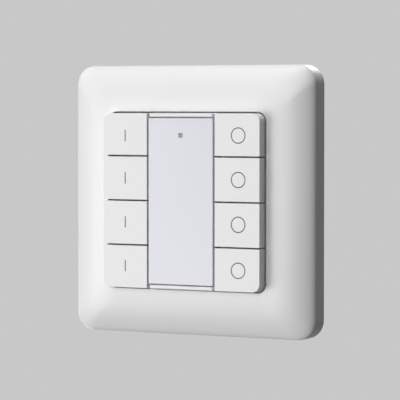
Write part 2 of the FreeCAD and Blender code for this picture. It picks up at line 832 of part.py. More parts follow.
processor_chip = chip("processor_chip", "0", "chip_level", "board_front", "board_front + chip_height")
indicator_led = box("indicator_led", "-led_width / 2", "led_width / 2", "dot_level - led_width / 2",
                    "dot_level + led_width / 2", "board_front", "board_front + led_height")


def screw(name, x, z, point, seat, top):
    # The head lies on its seat and the shank runs from it to the point, either way along the wall's normal.
    shank = rod(name + "_shank", x, z, "screw_radius", *sorted([point, seat], key=amount))
    head = rod(name + "_head", x, z, "head_radius", *sorted([top, seat], key=amount))
    return joined(name, [shank, head])


board_screws = grouped("board_screws", [
    screw("board_screw_" + tag, x, z,
          "board_rear + board_screw_reach", "board_rear", "board_rear - head_height")
    for tag, x, z in board_screw_places])


# Lid of the wall housing: it clamps the mounting plate from the front and carries the key board.
def socket_window(sketch):
    half_x = "(header_width / 2 + socket_wall + head_gap)"
    half_z = "(header_height / 2 + socket_wall + head_gap)"
    rectangle(sketch, f"-{half_x}", half_x, f"header_level - {half_z}", f"header_level + {half_z}")


housing_lid = body_named("housing_lid")
grow(housing_lid, "lid_plate", "plate_thickness", "board_rear", square("lid_half", "lid_corner"))
grow(housing_lid, "lid_sleeves", "-coupler_level", "plate_thickness",
     squares_at(lid_screw_places, "sleeve_width / 2"))
cut(housing_lid, "lid_sleeve_bores", "-coupler_level - cut_past", "board_rear + cut_past",
    discs_at(lid_screw_places, "clearance_radius"))
cut(housing_lid, "lid_head_seats", "lid_seat", "board_rear + cut_past",
    discs_at(lid_screw_places, "head_radius + thread_gap"))
cut(housing_lid, "board_screw_room", "plate_thickness - cut_past", "board_rear + cut_past",
    squares_at(board_screw_places, "head_radius + head_gap"))
cut(housing_lid, "socket_window", "plate_thickness - cut_past", "board_rear + cut_past", socket_window)

lid_screws = grouped("lid_screws", [
    screw("lid_screw_" + tag, x, z,
          "-(coupler_rear + lid_screw_reach)", "lid_seat", "board_rear - thread_gap")
    for tag, x, z in lid_screw_places])


# Wall housing: a deep shell behind the plate, with lugs that hold the plate and a bay for the bus terminals.
rear_housing = body_named("rear_housing")
grow(rear_housing, "shell_block", "-housing_depth", "plate_thickness",
     square("housing_half", "housing_corner"))
dress(rear_housing, "Chamfer", "shell_edge", "housing_edge", lies_at("-housing_depth"))


def plate_lugs(sketch):
    for up in both_ways:
        sides = (f"{up} * lug_level - lug_width / 2", f"{up} * lug_level + lug_width / 2")
        rectangle(sketch, "housing_half - housing_wall / 2", "housing_half + lug_reach", *sides)
        rectangle(sketch, "-(housing_half + lug_reach)", "-(housing_half - housing_wall / 2)", *sides)


grow(rear_housing, "plate_lugs", "-(lug_gap + lug_depth)", "-lug_gap", plate_lugs)
cut(rear_housing, "shell_hollow", "-housing_floor", "plate_thickness + cut_past",
    square("housing_half - housing_wall", "housing_corner - housing_wall"))
grow(rear_housing, "screw_towers", "-(housing_floor + housing_wall / 2)", "-coupler_rear",
     squares_at(lid_screw_places, "tower_width / 2"))
cut(rear_housing, "tower_bores", "-(coupler_rear + lid_screw_reach + cut_past)", "-(coupler_rear - cut_past)",
    discs_at(lid_screw_places, "screw_radius + thread_gap"))
grow(rear_housing, "bay_walls", "-(housing_floor + housing_wall / 2)", "-(bay_floor - bay_wall)",
     lambda sketch: rectangle(sketch, "-(bay_half + bay_wall)", "bay_half + bay_wall",
                              "bay_bottom - bay_wall", "bay_top + bay_wall"))
cut(rear_housing, "terminal_bay", "-(housing_depth + cut_past)", "-bay_floor",
    lambda sketch: rectangle(sketch, "-bay_half", "bay_half", "bay_bottom", "bay_top"))
cut(rear_housing, "pin_holes", "-(bay_floor + cut_past)", "-(bay_floor - bay_wall - cut_past)",
    squares_at(pin_places, "pin_width / 2 + thread_gap"))


# Coupler board inside the housing, with what it carries.
coupler_board = body_named("coupler_board")
grow(coupler_board, "coupler_sheet", "-coupler_rear", "-coupler_level",
     squares_at(at_middle, "coupler_half"))
dress(coupler_board, "Chamfer", "coupler_corners", "coupler_corner", stands_out("board_thickness"))
cut(coupler_board, "coupler_screw_holes", "-coupler_rear - cut_past", "-coupler_level + cut_past",
    discs_at(lid_screw_places, "clearance_radius"))

header_sides = ("-header_width / 2", "header_width / 2",
                "header_level - header_height / 2", "header_level + header_height / 2")
contact_places = (-2, -1, 0, 1, 2)
contacts = [box("header_block", *header_sides, "-coupler_level", "-coupler_level + header_depth")]
for place in contact_places:
    left = f"{place} * contact_pitch - contact_width / 2"
    contacts.append(box(f"contact_{len(contacts)}", left, f"{left} + contact_width",
                        "header_level - contact_width / 2", "header_level + contact_width / 2",
                        "-coupler_level + header_depth", "board_rear - contact_cover - contact_gap"))
board_header = joined("board_header", contacts)


def contact_wells(sketch):
    half = "(contact_width / 2 + contact_gap)"
    for place in contact_places:
        middle = f"{place} * contact_pitch"
        rectangle(sketch, f"{middle} - {half}", f"{middle} + {half}", f"header_level - {half}",
                  f"header_level + {half}")


board_socket = body_named("board_socket")
grow(board_socket, "socket_block", "-coupler_level + header_depth + contact_gap", "board_rear",
     lambda sketch: rectangle(sketch, *header_sides))
cut(board_socket, "contact_wells", "-coupler_level + header_depth - cut_past", "board_rear - contact_cover",
    contact_wells)

storage_capacitor = body_named("storage_capacitor",
                               "-(coupler_half - capacitor_margin - capacitor_radius)", "capacitor_place")
grow(storage_capacitor, "capacitor_can", "-(coupler_rear + capacitor_length)", "-coupler_rear",
     discs_at(at_middle, "capacitor_radius"))

power_choke = body_named("power_choke", "coupler_half - choke_margin - choke_width / 2",
                         "lid_screw_place - tower_width / 2 - choke_gap - choke_width / 2")
grow(power_choke, "choke_block", "-(coupler_rear + choke_height)", "-coupler_rear",
     squares_at(at_middle, "choke_width / 2"))
dress(power_choke, "Chamfer", "choke_corners", "choke_corner", stands_out("choke_height"))
bus_driver_chip = chip("bus_driver_chip", "coupler_half - driver_margin - chip_width / 2", "driver_place",
                       "-(coupler_rear + chip_height)", "-coupler_rear")

terminal_pins = grouped("terminal_pins", [
    box(f"terminal_pin_{side}", f"{x} - pin_width / 2", f"{x} + pin_width / 2",
        f"{z} - pin_width / 2", f"{z} + pin_width / 2", "-(bay_floor + pin_reach)", "-coupler_rear")
    for side, x, z in pin_places])


# Plug-on bus terminals: four push-in wire holes each, in the rear face.
def bus_terminal(name, sign):
    body = body_named(name, f"{sign} * pin_across", "terminal_level")
    front = "-(bay_floor + terminal_gap)"
    rear = "-(bay_floor + terminal_gap + terminal_depth)"
    grow(body, name + "_block", rear, front,
         lambda sketch: rectangle(sketch, "-terminal_width / 2", "terminal_width / 2",
                                  "-terminal_height / 2", "terminal_height / 2"))
    dress(body, "Chamfer", name + "_edges", "terminal_edge", lies_at(rear))
    cut(body, name + "_socket", "-(bay_floor + pin_reach + terminal_gap)", f"{front} + cut_past",
        squares_at(at_middle, "pin_width / 2 + thread_gap"))
    wire_places = [("wire", f"{across} * wire_hole_across", f"{up} * wire_hole_pitch / 2")
                   for across in both_ways for up in both_ways]
    cut(body, name + "_wire_holes", f"{rear} - cut_past", f"{rear} + wire_hole_depth",
        squares_at(wire_places, "wire_hole_width / 2"))
    return body


terminal_red = bus_terminal("terminal_red", "-1")
terminal_black = bus_terminal("terminal_black", "1")

doc.recompute()

nodes = keys + switches + [
    cover_frame, mounting_plate, key_carrier, label_window, label_card, indicator_lens, indicator_led,
    key_board, processor_chip, board_socket, board_screws, housing_lid, lid_screws, rear_housing,
    coupler_board, board_header, storage_capacitor, power_choke, bus_driver_chip, terminal_pins,
    terminal_red, terminal_black,
]

for feature in doc.Objects:
    if "Invalid" in feature.State or "Error" in feature.State:
        raise RuntimeError(f"{feature.Name} did not rebuild")
    if feature.TypeId == "PartDesign::Pocket":
        if feature.Shape.Volume > feature.BaseFeature.Shape.Volume - least_cut:
            raise RuntimeError(f"{feature.Name} removes nothing")

os.makedirs("parts", exist_ok=True)
for node in nodes:
    shape = node.Shape
    if shape.isNull() or not shape.isValid():
        raise RuntimeError(f"{node.Label} is not a sound shape")
    shape.exportStep(f"parts/{node.Label}.step")
    print(f"{node.Label}: {len(shape.Solids)} solid, {shape.Volume:.1f} mm3")
print(f"{len(nodes)} nodes written")
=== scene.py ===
import json
import math

import bmesh
import bpy
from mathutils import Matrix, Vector


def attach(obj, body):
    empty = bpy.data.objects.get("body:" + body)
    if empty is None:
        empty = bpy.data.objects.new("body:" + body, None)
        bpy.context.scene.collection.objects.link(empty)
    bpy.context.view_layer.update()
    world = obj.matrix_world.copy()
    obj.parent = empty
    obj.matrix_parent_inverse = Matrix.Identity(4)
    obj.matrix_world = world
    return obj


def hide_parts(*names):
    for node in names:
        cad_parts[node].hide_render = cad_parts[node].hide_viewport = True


# Eight-key lighting control panel. Metres: X to the right, Y into the wall, Z up; the wall is at Y = 0.

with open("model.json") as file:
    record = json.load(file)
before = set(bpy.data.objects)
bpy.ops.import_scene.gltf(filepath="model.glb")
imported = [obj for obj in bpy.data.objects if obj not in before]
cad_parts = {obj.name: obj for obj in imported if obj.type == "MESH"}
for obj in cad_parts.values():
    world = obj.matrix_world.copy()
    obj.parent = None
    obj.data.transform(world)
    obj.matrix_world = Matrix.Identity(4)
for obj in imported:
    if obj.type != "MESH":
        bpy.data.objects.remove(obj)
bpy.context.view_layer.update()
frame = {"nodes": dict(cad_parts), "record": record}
print("frame loaded:", len(frame["nodes"]), "nodes")

mm = 0.001
mergeReach = 0.0005 * mm  # corners nearer than this are one
placeReach = 0.001 * mm  # places nearer than this count as the same
sameWay = 0.99  # cosine from which two directions count as the same
cutReach = 1  # millimetres by which a cutter reaches past what it cuts

slotOf = {part["node"]: part["material_slot"] for part in frame["record"]["subparts"]}


# where the photograph was taken from, in millimetres
cameraSetup = {
    "place": (365.0, -676.8, 31.3),
    "looksAlong": (-0.4755, 0.8788, -0.0408),
    "lens": 219.6,
    "sensor": 36,
}

# azimuth runs to the right from straight in front; strength 1 lights a facing white to full white
lamps = {
    "leftLamp": {"azimuth": -42, "elevation": -12, "strength": 0.68, "width": 1.4, "height": 1.5},
    "frontLamp": {"azimuth": 4, "elevation": 17, "strength": 0.3, "width": 0.9, "height": 0.9},
    "highLamp": {"azimuth": -15, "elevation": 76, "strength": 0.68, "width": 1.5, "height": 1.3},
    "rearLamp": {"azimuth": 222, "elevation": -14, "strength": 0.3, "width": 0.9, "height": 0.9},
    "backLamp": {"azimuth": 186, "elevation": 35, "strength": 0.35, "width": 0.9, "height": 0.9},
}

studio = {
    "lampDistance": 2,
    "ambient": 0.02,
    "backdrop": 0.578,
    "floorLevel": -2.6,
    "floorSize": 6,
    "floorGlow": 0.42,  # what the floor lacks of the backdrop's tone, where the camera sees it
    "floorFinish": {
        "colour": (0.6, 0.6, 0.6), "roughness": 0.7, "toneChange": 0.01, "grainScale": 300,
        "grainStrength": 0.05, "grainDepth": 0.2},
}


def addCamera(setup):
    lens = bpy.data.cameras.new("camera")
    lens.lens = setup["lens"]
    lens.sensor_width = setup["sensor"]
    camera = bpy.data.objects.new("camera", lens)
    bpy.context.collection.objects.link(camera)
    camera.location = Vector(setup["place"]) * mm
    camera.rotation_euler = Vector(setup["looksAlong"]).to_track_quat("-Z", "Y").to_euler()
    bpy.context.scene.camera = camera


def addLamp(name, spec, distance):
    lamp = bpy.data.lights.new(name, "AREA")
    lamp.shape = "ELLIPSE"
    lamp.size = spec["width"]
    lamp.size_y = spec["height"]
    lamp.energy = spec["strength"] * (math.pi * distance) ** 2
    holder = bpy.data.objects.new(name, lamp)
    bpy.context.collection.objects.link(holder)
    around, up = math.radians(spec["azimuth"]), math.radians(spec["elevation"])
    direction = Vector((math.sin(around) * math.cos(up), -math.cos(around) * math.cos(up), math.sin(up)))
    holder.location = direction * distance
    holder.rotation_euler = direction.to_track_quat("Z", "Y").to_euler()


class Signal:  # a socket that takes part in sums like a number
    def __init__(self, maker, socket):
        self.maker = maker
        self.socket = socket

    def reckon(self, operation, other, swapped=False):
        values = {0: other, 1: self} if swapped else {0: self, 1: other}
        return self.maker.node("ShaderNodeMath", {"operation": operation}, values)

    def __add__(self, other):
        return self.reckon("ADD", other)

    def __radd__(self, other):
        return self.reckon("ADD", other)

    def __sub__(self, other):
        return self.reckon("SUBTRACT", other)

    def __rsub__(self, other):
        return self.reckon("SUBTRACT", other, True)

    def __mul__(self, other):
        return self.reckon("MULTIPLY", other)

    def __rmul__(self, other):
        return self.reckon("MULTIPLY", other)


class NodeMaker:
    def __init__(self, tree):
        self.tree = tree

    def node(self, kind, settings, values, output=0):
        # any node: its settings first, then the numbers or links of its sockets
        made = self.tree.nodes.new(kind)
        for setting, value in settings.items():
            if setting == "stops":
                for stop, (position, level) in zip(made.color_ramp.elements, value):
                    stop.position = position
                    stop.color = (level, level, level, 1)
            else:
                setattr(made, setting, value)
        for key, value in values.items():
            if isinstance(value, Signal):
                self.tree.links.new(value.socket, made.inputs[key])
            else:
                made.inputs[key].default_value = value
        return Signal(self, made.outputs[output]) if made.outputs else None


class Finish(NodeMaker):
    def __init__(self, name, colour, fixed):
        self.material = bpy.data.materials.new(name)
        self.material.use_nodes = True
        super().__init__(self.material.node_tree)
        self.shader = self.tree.nodes["Principled BSDF"]
        self.colour = (*colour, 1)
        self.shader.inputs["Base Color"].default_value = self.colour
        for socketName, value in fixed.items():
            self.shader.inputs[socketName].default_value = value
        self.place = self.node("ShaderNodeTexCoord", {}, {}, "Object")

    def noise(self, scale, detail=2.0, stretch=(1, 1, 1)):
        where = self.node("ShaderNodeMapping", {}, {"Vector": self.place, "Scale": stretch})
        values = {"Vector": where, "Scale": scale, "Detail": detail}
        return self.node("ShaderNodeTexNoise", {}, values, "Fac")

    def patches(self, scale):
        # flat patches of random tone, like the crystals of a zinc coat; times 1 makes them a number
        return self.node("ShaderNodeTexVoronoi", {}, {"Vector": self.place, "Scale": scale}, "Color") * 1

    def ramp(self, signal, start, end):
        # 0 up to the start and 1 from the end on; times 1 makes the ramp's grey a number
        return self.node("ShaderNodeValToRGB", {"stops": ((start, 0), (end, 1))}, {"Fac": signal}) * 1

    def mixed(self, mask, first, second):
        # the Mix node's colours are its inputs 6 and 7, and its output 2
        return self.node("ShaderNodeMix", {"data_type": "RGBA"}, {0: mask, 6: first, 7: second}, 2)

    def feed(self, socketName, signal):
        self.tree.links.new(signal.socket, self.shader.inputs[socketName])

    def bump(self, height, strength, distance):
        self.feed("Normal", self.node("ShaderNodeBump", {}, {
            "Height": height, "Strength": strength, "Distance": distance}))

    def tones(self, mask, darker, lighter):
        # colour between two tones of the base, by a mask
        low = tuple(part * darker for part in self.colour[:3]) + (1,)
        high = tuple(min(1, part * lighter) for part in self.colour[:3]) + (1,)
        self.feed("Base Color", self.mixed(mask, low, high))


plasticLook = {"cloudScale": 40, "cloudShare": 0.7, "glossChange": 0.06}


def mouldedPlastic(name, spec):
    # soft clouds and a fine grain, which show in the tone and the gloss; the grain is raised too
    finish = Finish(name, spec["colour"], {"Roughness": spec["roughness"], "IOR": 1.5})
    clouds = finish.noise(plasticLook["cloudScale"])
    grain = finish.noise(spec["grainScale"], detail=3)
    share, change = plasticLook["cloudShare"], plasticLook["glossChange"]
    finish.tones(clouds * share + grain * (1 - share), 1 - spec["toneChange"], 1 + spec["toneChange"])
    finish.feed("Roughness", clouds * change + grain * change + (spec["roughness"] - change))
    finish.bump(grain, spec["grainStrength"], spec["grainDepth"] * mm)
    return finish


metalLook = {
    "cloudScale": 60,
    "streakScale": 500,
    "streakShare": 0.4,
    "darkest": 0.86,
    "lightest": 1.1,
    "cloudGloss": 0.16,
    "crystalGloss": 0.3,
    "streakGloss": 0.12,
    "streakStrength": 0.25,
    "streakDepth": 0.02,
}


def brushedMetal(name, spec):
    # rolling streaks, soft clouds and, on plated sheet, faint zinc crystals
    look = metalLook
    finish = Finish(name, spec["colour"], {"Roughness": spec["roughness"], "Metallic": 1})
    clouds = finish.noise(look["cloudScale"], detail=3)
    streaks = finish.noise(look["streakScale"], detail=4, stretch=spec["stretch"])
    tones = streaks * look["streakShare"]
    gloss = clouds * look["cloudGloss"] + streaks * look["streakGloss"]
    middleGloss = (look["cloudGloss"] + look["streakGloss"]) / 2
    share = spec.get("crystalShare", 0)
    if share:
        crystals = finish.patches(spec["crystalScale"])
        tones += crystals * share
        gloss += (1 - crystals) * (share * look["crystalGloss"])
        middleGloss += share * look["crystalGloss"] / 2
    tones += clouds * (1 - look["streakShare"] - share)
    finish.tones(tones, look["darkest"], look["lightest"])
    finish.feed("Roughness", gloss + (spec["roughness"] - middleGloss))
    finish.bump(streaks, look["streakStrength"], look["streakDepth"] * mm)
    return finish


def circuitBoard(name, spec):
    # solder resist that lies a little lighter and higher over the copper traces below it
    finish = Finish(name, spec["colour"], {"Roughness": spec["roughness"], "Coat Weight": spec["coat"]})
    runs = [finish.node("ShaderNodeTexWave", {"bands_direction": direction}, {
        "Vector": finish.place, "Scale": spec["traceScale"], "Distortion": spec["traceBend"],
        "Detail": 0}, "Fac") for direction in ("X", "Z")]
    areas = finish.ramp(finish.noise(spec["areaScale"], detail=0), *spec["areaEdge"])
    traces = finish.ramp(runs[0] * areas + runs[1] * (1 - areas), *spec["traceEdge"])
    weave = finish.noise(spec["weaveScale"])
    toneShare, reliefShare, change = spec["traceToneShare"], spec["traceReliefShare"], spec["toneChange"]
    finish.tones(traces * toneShare + weave * (1 - toneShare), 1 - change, 1 + change)
    finish.feed("Roughness", weave * spec["weaveGloss"] - traces * spec["traceGloss"] + spec["roughness"])
    finish.bump(traces * reliefShare + weave * (1 - reliefShare), spec["reliefStrength"],
                spec["reliefHeight"] * mm)
    return finish


finishes = {
    "frame_white": mouldedPlastic("frameWhite", {
        "colour": (0.812, 0.81, 0.813), "roughness": 0.42, "toneChange": 0.012, "grainScale": 3500,
        "grainStrength": 0.12, "grainDepth": 0.02}),
    "key_white": mouldedPlastic("keyWhite", {
        "colour": (0.814, 0.812, 0.814), "roughness": 0.45, "toneChange": 0.01, "grainScale": 4500,
        "grainStrength": 0.12, "grainDepth": 0.02}),
    "window_clear": mouldedPlastic("windowClear", {
        "colour": (0.667, 0.667, 0.731), "roughness": 0.22, "toneChange": 0.008, "grainScale": 2500,
        "grainStrength": 0.03, "grainDepth": 0.01}),
    "card_pale": mouldedPlastic("cardPale", {
        "colour": (0.72, 0.73, 0.80), "roughness": 0.8, "toneChange": 0.02, "grainScale": 2500,
        "grainStrength": 0.3, "grainDepth": 0.03}),
    "dot_grey": mouldedPlastic("dotGrey", {
        "colour": (0.27, 0.27, 0.285), "roughness": 0.3, "toneChange": 0.03, "grainScale": 2500,
        "grainStrength": 0.05, "grainDepth": 0.01}),
    "led_white": mouldedPlastic("ledWhite", {
        "colour": (0.85, 0.82, 0.66), "roughness": 0.35, "toneChange": 0.03, "grainScale": 2500,
        "grainStrength": 0.1, "grainDepth": 0.02}),
    "housing_grey": mouldedPlastic("housingGrey", {
        "colour": (0.16, 0.165, 0.17), "roughness": 0.55, "toneChange": 0.06, "grainScale": 2200,
        "grainStrength": 0.35, "grainDepth": 0.05}),
    "board_green": circuitBoard("boardGreen", {
        "colour": (0.02, 0.13, 0.05), "roughness": 0.32, "coat": 0.3, "toneChange": 0.35,
        "traceScale": 180, "traceBend": 1.5, "traceEdge": (0.6, 0.7), "traceToneShare": 0.7,
        "traceReliefShare": 0.8, "traceGloss": 0.06, "areaScale": 120, "areaEdge": (0.49, 0.51),
        "weaveScale": 1500, "weaveGloss": 0.1, "reliefStrength": 0.4, "reliefHeight": 0.05}),
    "chip_black": mouldedPlastic("chipBlack", {
        "colour": (0.03, 0.03, 0.033), "roughness": 0.5, "toneChange": 0.1, "grainScale": 3500,
        "grainStrength": 0.3, "grainDepth": 0.03}),
    "switch_dark": mouldedPlastic("switchDark", {
        "colour": (0.05, 0.05, 0.055), "roughness": 0.45, "toneChange": 0.1, "grainScale": 3000,
        "grainStrength": 0.25, "grainDepth": 0.03}),
    "plunger_pale": mouldedPlastic("plungerPale", {
        "colour": (0.62, 0.6, 0.54), "roughness": 0.5, "toneChange": 0.03, "grainScale": 3000,
        "grainStrength": 0.15, "grainDepth": 0.02}),
    "terminal_red": mouldedPlastic("terminalRed", {
        "colour": (0.5, 0.03, 0.025), "roughness": 0.4, "toneChange": 0.06, "grainScale": 2800,
        "grainStrength": 0.2, "grainDepth": 0.03}),
    "terminal_dark": mouldedPlastic("terminalDark", {
        "colour": (0.035, 0.035, 0.04), "roughness": 0.42, "toneChange": 0.1, "grainScale": 2800,
        "grainStrength": 0.2, "grainDepth": 0.03}),
    "zinc_steel": brushedMetal("zincSteel", {
        "colour": (0.62, 0.63, 0.65), "roughness": 0.38, "stretch": (1, 1, 0.08), "crystalShare": 0.25,
        "crystalScale": 380}),
    "screw_steel": brushedMetal("screwSteel", {
        "colour": (0.6, 0.6, 0.6), "roughness": 0.3, "stretch": (1, 0.2, 1)}),
    "can_aluminium": brushedMetal("canAluminium", {
        "colour": (0.75, 0.76, 0.77), "roughness": 0.3, "stretch": (1, 0.1, 1)}),
    "pin_metal": brushedMetal("pinMetal", {
        "colour": (0.72, 0.62, 0.38), "roughness": 0.25, "stretch": (1, 0.1, 1)}),
}
markInk = mouldedPlastic("markInk", {
    "colour": (0.05, 0.05, 0.052), "roughness": 0.5, "toneChange": 0.05, "grainScale": 5000,
    "grainStrength": 0.1, "grainDepth": 0.01})

for node, slotName in slotOf.items():
    for holder in frame["nodes"][node].material_slots:
        holder.material = finishes[slotName].material
print("materials:", len(finishes) + 1)


def objectMode():
    if bpy.context.object and bpy.context.object.mode != "OBJECT":
        bpy.ops.object.mode_set(mode="OBJECT")
    bpy.ops.object.select_all(action="DESELECT")


def makeActive(piece):
    objectMode()
    piece.select_set(True)
    bpy.context.view_layer.objects.active = piece


def applyPlace(piece):
    # puts a piece's place, turn and scale into its mesh
    makeActive(piece)
    bpy.ops.object.transform_apply(location=True, rotation=True, scale=True)


def addBlock(left, right, bottom, top, low, high):
    # block between limits in millimetres; low and high are heights above the wall
    bpy.ops.mesh.primitive_cube_add(size=1)
    middle = Vector(((left + right) / 2, -(low + high) / 2, (bottom + top) / 2)) * mm
    extent = Vector((right - left, high - low, top - bottom)) * mm
    if bpy.context.object.mode == "EDIT":
        bpy.ops.transform.resize(value=extent, center_override=(0, 0, 0))
        bpy.ops.transform.translate(value=middle)
    else:
        bpy.context.object.scale = extent
        bpy.context.object.location = middle
        bpy.ops.object.transform_apply(location=True, rotation=True, scale=True)
    return bpy.context.object


def pick(kind, test):
    # in edit mode, selects the vertices, edges or faces that pass a test
    bpy.ops.mesh.select_mode(type={"verts": "VERT", "edges": "EDGE", "faces": "FACE"}[kind])
    bpy.ops.mesh.select_all(action="DESELECT")
    mesh = bmesh.from_edit_mesh(bpy.context.object.data)
    for element in getattr(mesh, kind):
        if test(element):
            element.select_set(True)
    mesh.select_flush_mode()
    bmesh.update_edit_mesh(bpy.context.object.data)


def faceOnto(direction):
    towards = Vector(direction)
    return lambda face: face.normal.dot(towards) > sameWay


def edgeAlong(axis):
    def test(edge):
        run = edge.verts[1].co - edge.verts[0].co
        return abs(run[axis]) > sameWay * run.length
    return test


def edgeAtHeight(height):
    return lambda edge: all(abs(vertex.co.y + height * mm) < placeReach for vertex in edge.verts)


def roundEdges(test, size, segments):
    # in edit mode: rounds the edges that pass a test, or slants them with one segment
    pick("edges", test)
    bpy.ops.mesh.bevel(offset=size * mm, segments=segments, affect="EDGES")


def useModifier(piece, kind, settings):
    modifier = piece.modifiers.new(kind.lower(), kind)
    for setting, value in settings.items():
        setattr(modifier, setting, value)
    bpy.context.view_layer.objects.active = piece
    bpy.ops.object.modifier_apply(modifier=modifier.name)


def cutWith(piece, cutters):
    for cutter in cutters:
        useModifier(piece, "BOOLEAN", {"operation": "DIFFERENCE", "object": cutter, "solver": "EXACT"})
        bpy.data.objects.remove(cutter)


def settle(piece, name, body, slotName, nodes=(), smoothAngle=35, finish=None):
    # names a finished piece, gives it its slot's finish or another one, and lets it ride on its body
    makeActive(piece)
    piece.name = name
    piece.data.name = name
    piece.data.materials.clear()
    piece.data.materials.append((finish or finishes[slotName]).material)
    bpy.ops.object.shade_smooth_by_angle(angle=math.radians(smoothAngle))
    # the broad faces stay flat beside their rounded edges
    useModifier(piece, "WEIGHTED_NORMAL", {"keep_sharp": True, "weight": 100})
    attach(piece, body)
    if nodes:
        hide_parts(*nodes)


def copyOf(piece):
    twin = piece.copy()
    twin.data = piece.data.copy()
    bpy.context.collection.objects.link(twin)
    return twin


def normalsOutward():
    # in edit mode: merges the doubles and turns every face outward
    bpy.ops.mesh.select_all(action="SELECT")
    bpy.ops.mesh.remove_doubles(threshold=mergeReach)
    bpy.ops.mesh.normals_make_consistent(inside=False)


def mirrorPiece(piece, flips):
    piece.scale = flips
    applyPlace(piece)
    if flips[0] * flips[1] * flips[2] < 0:
        bpy.ops.object.mode_set(mode="EDIT")
        normalsOutward()
        bpy.ops.object.mode_set(mode="OBJECT")


coverFrame = {
    "half": 42.25,
    "corner": 6.0,
    "cornerSegments": 20,
    "height": 11.5,
    "side": 6.76,  # height at which the dome would meet the side
    "domePower": 2.35,
    "domeSteps": 28,
    "domeSpread": 1.1,  # above 1, the steps draw together near the lip
    "creaseSide": 5.9,  # the straight side ends at this height
    "creaseDome": 0.77,  # and the dome at this share of its course
    "creaseSteps": 10,
    "rim": 0.25,
    "rimSteps": 5,
    "lipHalf": 29.0,
    "lip": 1.1,
    "lipEdge": 0.08,
    "lipEdgeSteps": 4,
    "openingStretch": (1.005, 1, 0.9992),  # the opening is a little wider and lower than even
    "openingDrop": 0.065,
    "ledgeHeight": 7.3,
    "ledgeWidth": 2.2,
    "ledgeRear": 5.9,
    "wall": 2.0,
    "wallSteps": (0.25, 0.4, 0.55, 0.7, 0.85, 1),  # shares of the dome's course that its underside follows
    "collar": 1.6,
    "ribs": (-25, -14, 14, 25),
    "ribThickness": 1.2,
    "ribInner": 28.7,
    "ribOuter": 41.05,
    "ribRear": 1.5,
    "ribTop": 10.2,
    "ribCutAt": (35.5, -10.2, 0),
    "ribCutFacing": (3.4, -5.5, 0),
    "ribEdge": 0.12,
    "ribEdgeSegments": 2,
    "smoothAngle": 30,
}


slopeStep = 0.001  # share of the dome's course over which its slope is taken


def domePoint(shape, share, inset=0):
    # half width and height of the dome, at a share of its course from the lip to the side
    reach = shape["half"] - shape["lipHalf"]
    half = shape["lipHalf"] + reach * share ** (2 / shape["domePower"]) - inset
    return half, shape["height"] - (shape["height"] - shape["side"]) * share ** 2 - inset


def turnPoints(start, corner, end, steps):
    # points that turn a profile's corner along a quadratic curve
    start, corner, end = Vector(start), Vector(corner), Vector(end)
    points = []
    for step in range(steps + 1):
        t = step / steps
        points.append(tuple(start * (1 - t) ** 2 + corner * 2 * t * (1 - t) + end * t ** 2))
    return points


def frameProfile(shape):
    # outside of the frame from the rear rim to the lip, as half widths and heights
    half, rim, steps = shape["half"], shape["rim"], shape["domeSteps"]
    points = turnPoints((half - rim, 0), (half, 0), (half, rim), shape["rimSteps"])
    # the crease leaves the dome along its slope, so that no ridge shows there
    end = domePoint(shape, shape["creaseDome"])
    beyond = domePoint(shape, shape["creaseDome"] + slopeStep)
    slope = (beyond[1] - end[1]) / (beyond[0] - end[0])
    corner = (half, end[1] + slope * (half - end[0]))
    points += turnPoints((half, shape["creaseSide"]), corner, end, shape["creaseSteps"])
    halfStep = 0.5 / steps
    for step in range(steps - 1, -1, -1):
        share = (step / steps) ** shape["domeSpread"]
        if share < shape["creaseDome"] - halfStep:
            points.append(domePoint(shape, share))
    return points


def moveLoop(half, height, state):
    # carries the selected loop on to a new half width and height
    factor = half / state["half"]
    bpy.ops.mesh.extrude_region_move(TRANSFORM_OT_translate={"value": (0, 0, 0)})
    bpy.ops.transform.resize(value=(factor, 1, factor), center_override=(0, 0, 0))
    bpy.ops.transform.translate(value=(0, -(height - state["height"]) * mm, 0))
    state["half"] = half
    state["height"] = height


def roundInward(edge, steps):
    # a quarter turn from the selected flat face into an opening
    for step in range(steps):
        now, then = math.pi / 2 * step / steps, math.pi / 2 * (step + 1) / steps
        bpy.ops.mesh.inset(thickness=edge * (math.sin(then) - math.sin(now)) * mm,
                           depth=-edge * (math.cos(now) - math.cos(then)) * mm)


